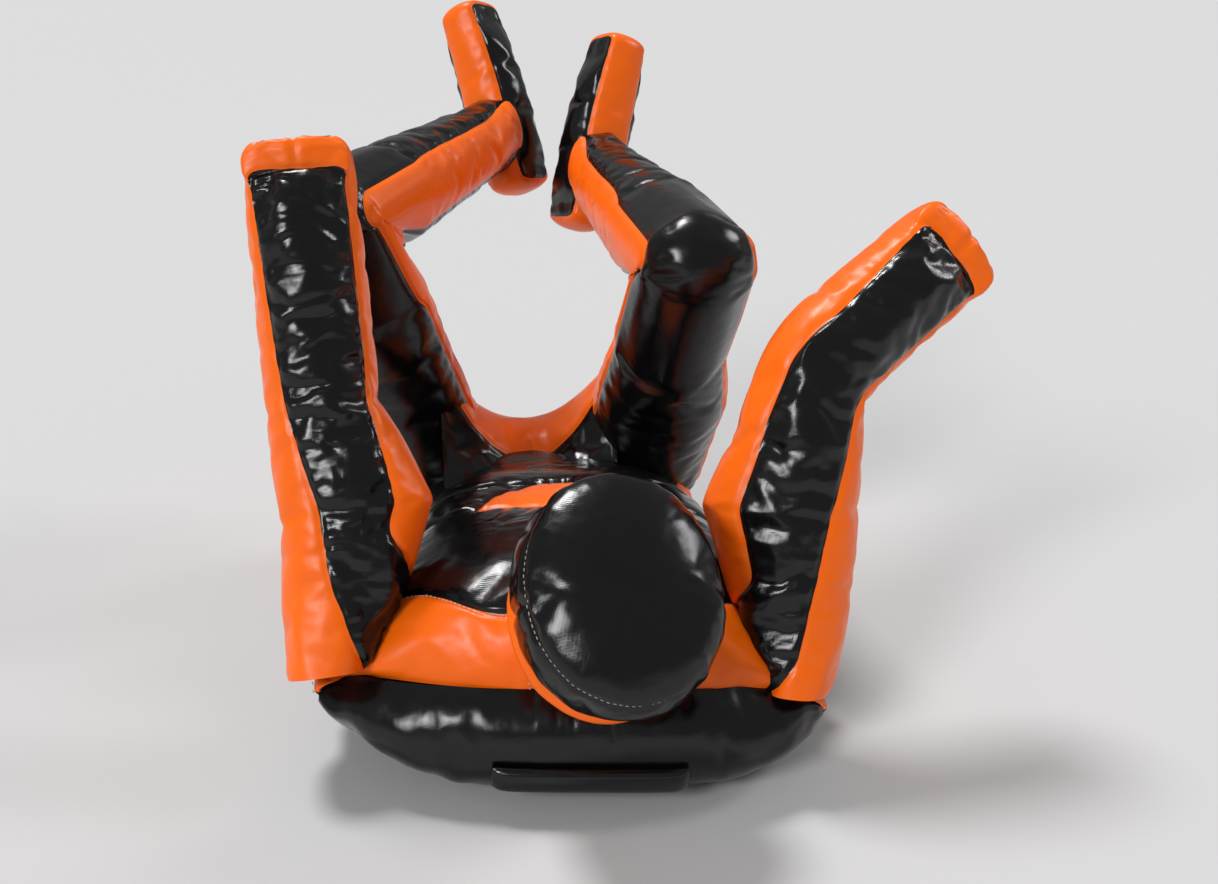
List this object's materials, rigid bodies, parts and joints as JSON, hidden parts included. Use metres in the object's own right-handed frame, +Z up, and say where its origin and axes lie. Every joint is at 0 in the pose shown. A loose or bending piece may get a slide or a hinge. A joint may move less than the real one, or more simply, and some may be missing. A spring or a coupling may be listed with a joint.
{
  "type": "grappling dummy",
  "caption": "Stuffed human-shaped grappling dummy lying on its back with arms raised and knees drawn up, in two-colour coated fabric.",
  "frame": {"origin": "middle of the flat patch of the back, on the floor", "axes": "+Z up from the floor, +Y from the head towards the feet, +X to the dummy's right side"},
  "size_m": [0.8494, 1.1681, 0.7883],
  "materials": {
    "black_coated_fabric": "glossy coated fabric",
    "orange_coated_fabric": "glossy coated fabric",
    "shredded_textile_filling": "matt",
    "zip_tape_fabric": "matt",
    "zip_metal": "satin"
  },
  "bodies": {
    "trunk": {"back_panel": "black_coated_fabric", "chest_panel": "black_coated_fabric", "abdomen_panel": "orange_coated_fabric", "left_waist_panel": "black_coated_fabric", "right_waist_panel": "black_coated_fabric", "pelvis_panel": "black_coated_fabric", "left_flank_gusset": "orange_coated_fabric", "right_flank_gusset": "orange_coated_fabric", "left_shoulder_yoke": "orange_coated_fabric", "right_shoulder_yoke": "orange_coated_fabric", "crotch_gusset": "orange_coated_fabric", "trunk_filling": "shredded_textile_filling", "zip_tape": "zip_tape_fabric"},
    "head": {"neck_collar": "orange_coated_fabric", "head_front_panel": "black_coated_fabric", "head_back_panel": "black_coated_fabric", "head_crown_panel": "black_coated_fabric", "head_filling": "shredded_textile_filling"},
    "closure_flap": {"closure_flap": "black_coated_fabric"},
    "zip_slider": {"zip_slider": "zip_metal", "zip_pull_tab": "zip_metal"},
    "left_upper_arm": {"left_arm_top_panel": "black_coated_fabric", "left_arm_under_panel": "black_coated_fabric", "left_arm_outer_panel": "orange_coated_fabric", "left_arm_inner_panel": "orange_coated_fabric", "left_upper_arm_filling": "shredded_textile_filling"},
    "left_forearm": {"left_forearm_filling": "shredded_textile_filling"},
    "left_thigh": {"left_leg_front_panel": "black_coated_fabric", "left_leg_back_panel": "black_coated_fabric", "left_leg_outer_panel": "orange_coated_fabric", "left_leg_inner_panel": "orange_coated_fabric", "left_thigh_filling": "shredded_textile_filling"},
    "left_shin": {"left_shin_filling": "shredded_textile_filling"},
    "left_foot": {"left_foot_strip_panel": "orange_coated_fabric", "left_foot_outer_side_panel": "black_coated_fabric", "left_foot_inner_side_panel": "black_coated_fabric", "left_foot_filling": "shredded_textile_filling"},
    "right_upper_arm": {"right_arm_top_panel": "black_coated_fabric", "right_arm_under_panel": "black_coated_fabric", "right_arm_outer_panel": "orange_coated_fabric", "right_arm_inner_panel": "orange_coated_fabric", "right_upper_arm_filling": "shredded_textile_filling"},
    "right_forearm": {"right_forearm_filling": "shredded_textile_filling"},
    "right_thigh": {"right_leg_front_panel": "black_coated_fabric", "right_leg_back_panel": "black_coated_fabric", "right_leg_outer_panel": "orange_coated_fabric", "right_leg_inner_panel": "orange_coated_fabric", "right_thigh_filling": "shredded_textile_filling"},
    "right_shin": {"right_shin_filling": "shredded_textile_filling"},
    "right_foot": {"right_foot_strip_panel": "orange_coated_fabric", "right_foot_outer_side_panel": "black_coated_fabric", "right_foot_inner_side_panel": "black_coated_fabric", "right_foot_filling": "shredded_textile_filling"}
  },
  "joints": [
    {"name": "neck", "type": "hinge", "parent": "trunk", "child": "head", "pos_m": [0.006, -0.268, 0.15], "axis": [1, 0, 0], "range_deg": [-20, 12], "stiffness_Nm_per_rad": 80, "deforming": ["neck_collar"]},
    {"name": "left_shoulder", "type": "hinge", "parent": "trunk", "child": "left_upper_arm", "pos_m": [-0.256, -0.226, 0.186], "axis": [1, 0, 0], "range_deg": [-2, 50], "stiffness_Nm_per_rad": 160, "deforming": ["left_arm_top_panel", "left_arm_under_panel", "left_arm_outer_panel", "left_arm_inner_panel", "left_shoulder_yoke", "chest_panel"]},
    {"name": "left_elbow", "type": "hinge", "parent": "left_upper_arm", "child": "left_forearm", "pos_m": [-0.2791, -0.1186, 0.4272], "axis": [0, 1, 0], "range_deg": [-40, 18], "stiffness_Nm_per_rad": 60, "deforming": ["left_arm_top_panel", "left_arm_under_panel", "left_arm_outer_panel", "left_arm_inner_panel"]},
    {"name": "left_hip", "type": "hinge", "parent": "trunk", "child": "left_thigh", "pos_m": [-0.136, 0.285, 0.128], "axis": [1, 0, 0], "range_deg": [-40, 5], "stiffness_Nm_per_rad": 400, "deforming": ["left_leg_front_panel", "left_leg_back_panel", "left_leg_outer_panel", "left_leg_inner_panel", "left_flank_gusset", "left_waist_panel", "pelvis_panel", "crotch_gusset"]},
    {"name": "left_knee", "type": "hinge", "parent": "left_thigh", "child": "left_shin", "pos_m": [-0.2735, 0.1542, 0.5305], "axis": [1, 0, 0], "range_deg": [-20, 30], "stiffness_Nm_per_rad": 260, "deforming": ["left_leg_front_panel", "left_leg_back_panel", "left_leg_outer_panel", "left_leg_inner_panel"]},
    {"name": "left_ankle", "type": "hinge", "parent": "left_shin", "child": "left_foot", "pos_m": [-0.0529, 0.5473, 0.5928], "axis": [1, 0, 0], "range_deg": [-14, 14], "stiffness_Nm_per_rad": 60, "deforming": ["left_leg_front_panel", "left_leg_back_panel", "left_leg_outer_panel", "left_leg_inner_panel", "left_foot_strip_panel"]},
    {"name": "right_shoulder", "type": "hinge", "parent": "trunk", "child": "right_upper_arm", "pos_m": [0.226, -0.292, 0.166], "axis": [1, 0, 0], "range_deg": [-2, 50], "stiffness_Nm_per_rad": 160, "deforming": ["right_arm_top_panel", "right_arm_under_panel", "right_arm_outer_panel", "right_arm_inner_panel", "right_shoulder_yoke", "chest_panel"]},
    {"name": "right_elbow", "type": "hinge", "parent": "right_upper_arm", "child": "right_forearm", "pos_m": [0.2537, -0.2149, 0.418], "axis": [0, 1, 0], "range_deg": [-34, 14], "stiffness_Nm_per_rad": 60, "deforming": ["right_arm_top_panel", "right_arm_under_panel", "right_arm_outer_panel", "right_arm_inner_panel"]},
    {"name": "right_hip", "type": "hinge", "parent": "trunk", "child": "right_thigh", "pos_m": [0.132, 0.285, 0.128], "axis": [1, 0, 0], "range_deg": [-40, 2], "stiffness_Nm_per_rad": 400, "deforming": ["right_leg_front_panel", "right_leg_back_panel", "right_leg_outer_panel", "right_leg_inner_panel", "right_flank_gusset", "right_waist_panel", "pelvis_panel", "crotch_gusset"]},
    {"name": "right_knee", "type": "hinge", "parent": "right_thigh", "child": "right_shin", "pos_m": [0.1708, 0.0307, 0.4911], "axis": [1, 0, 0], "range_deg": [-20, 30], "stiffness_Nm_per_rad": 260, "deforming": ["right_leg_front_panel", "right_leg_back_panel", "right_leg_outer_panel", "right_leg_inner_panel"]},
    {"name": "right_ankle", "type": "hinge", "parent": "right_shin", "child": "right_foot", "pos_m": [0.1035, 0.4774, 0.546], "axis": [1, 0, 0], "range_deg": [-14, 14], "stiffness_Nm_per_rad": 60, "deforming": ["right_leg_front_panel", "right_leg_back_panel", "right_leg_outer_panel", "right_leg_inner_panel", "right_foot_strip_panel"]},
    {"name": "closure_flap_hinge", "type": "hinge", "parent": "trunk", "child": "closure_flap", "pos_m": [-0.0011, -0.3963, 0.0695], "axis": [0.9917, -0.1289, 0], "range_deg": [-110, 0], "stiffness_Nm_per_rad": 0.05},
    {"name": "zip_slide", "type": "slide", "parent": "trunk", "child": "zip_slider", "axis": [0.9917, -0.1289, 0], "range_m": [0, 0.14]}
  ]
}
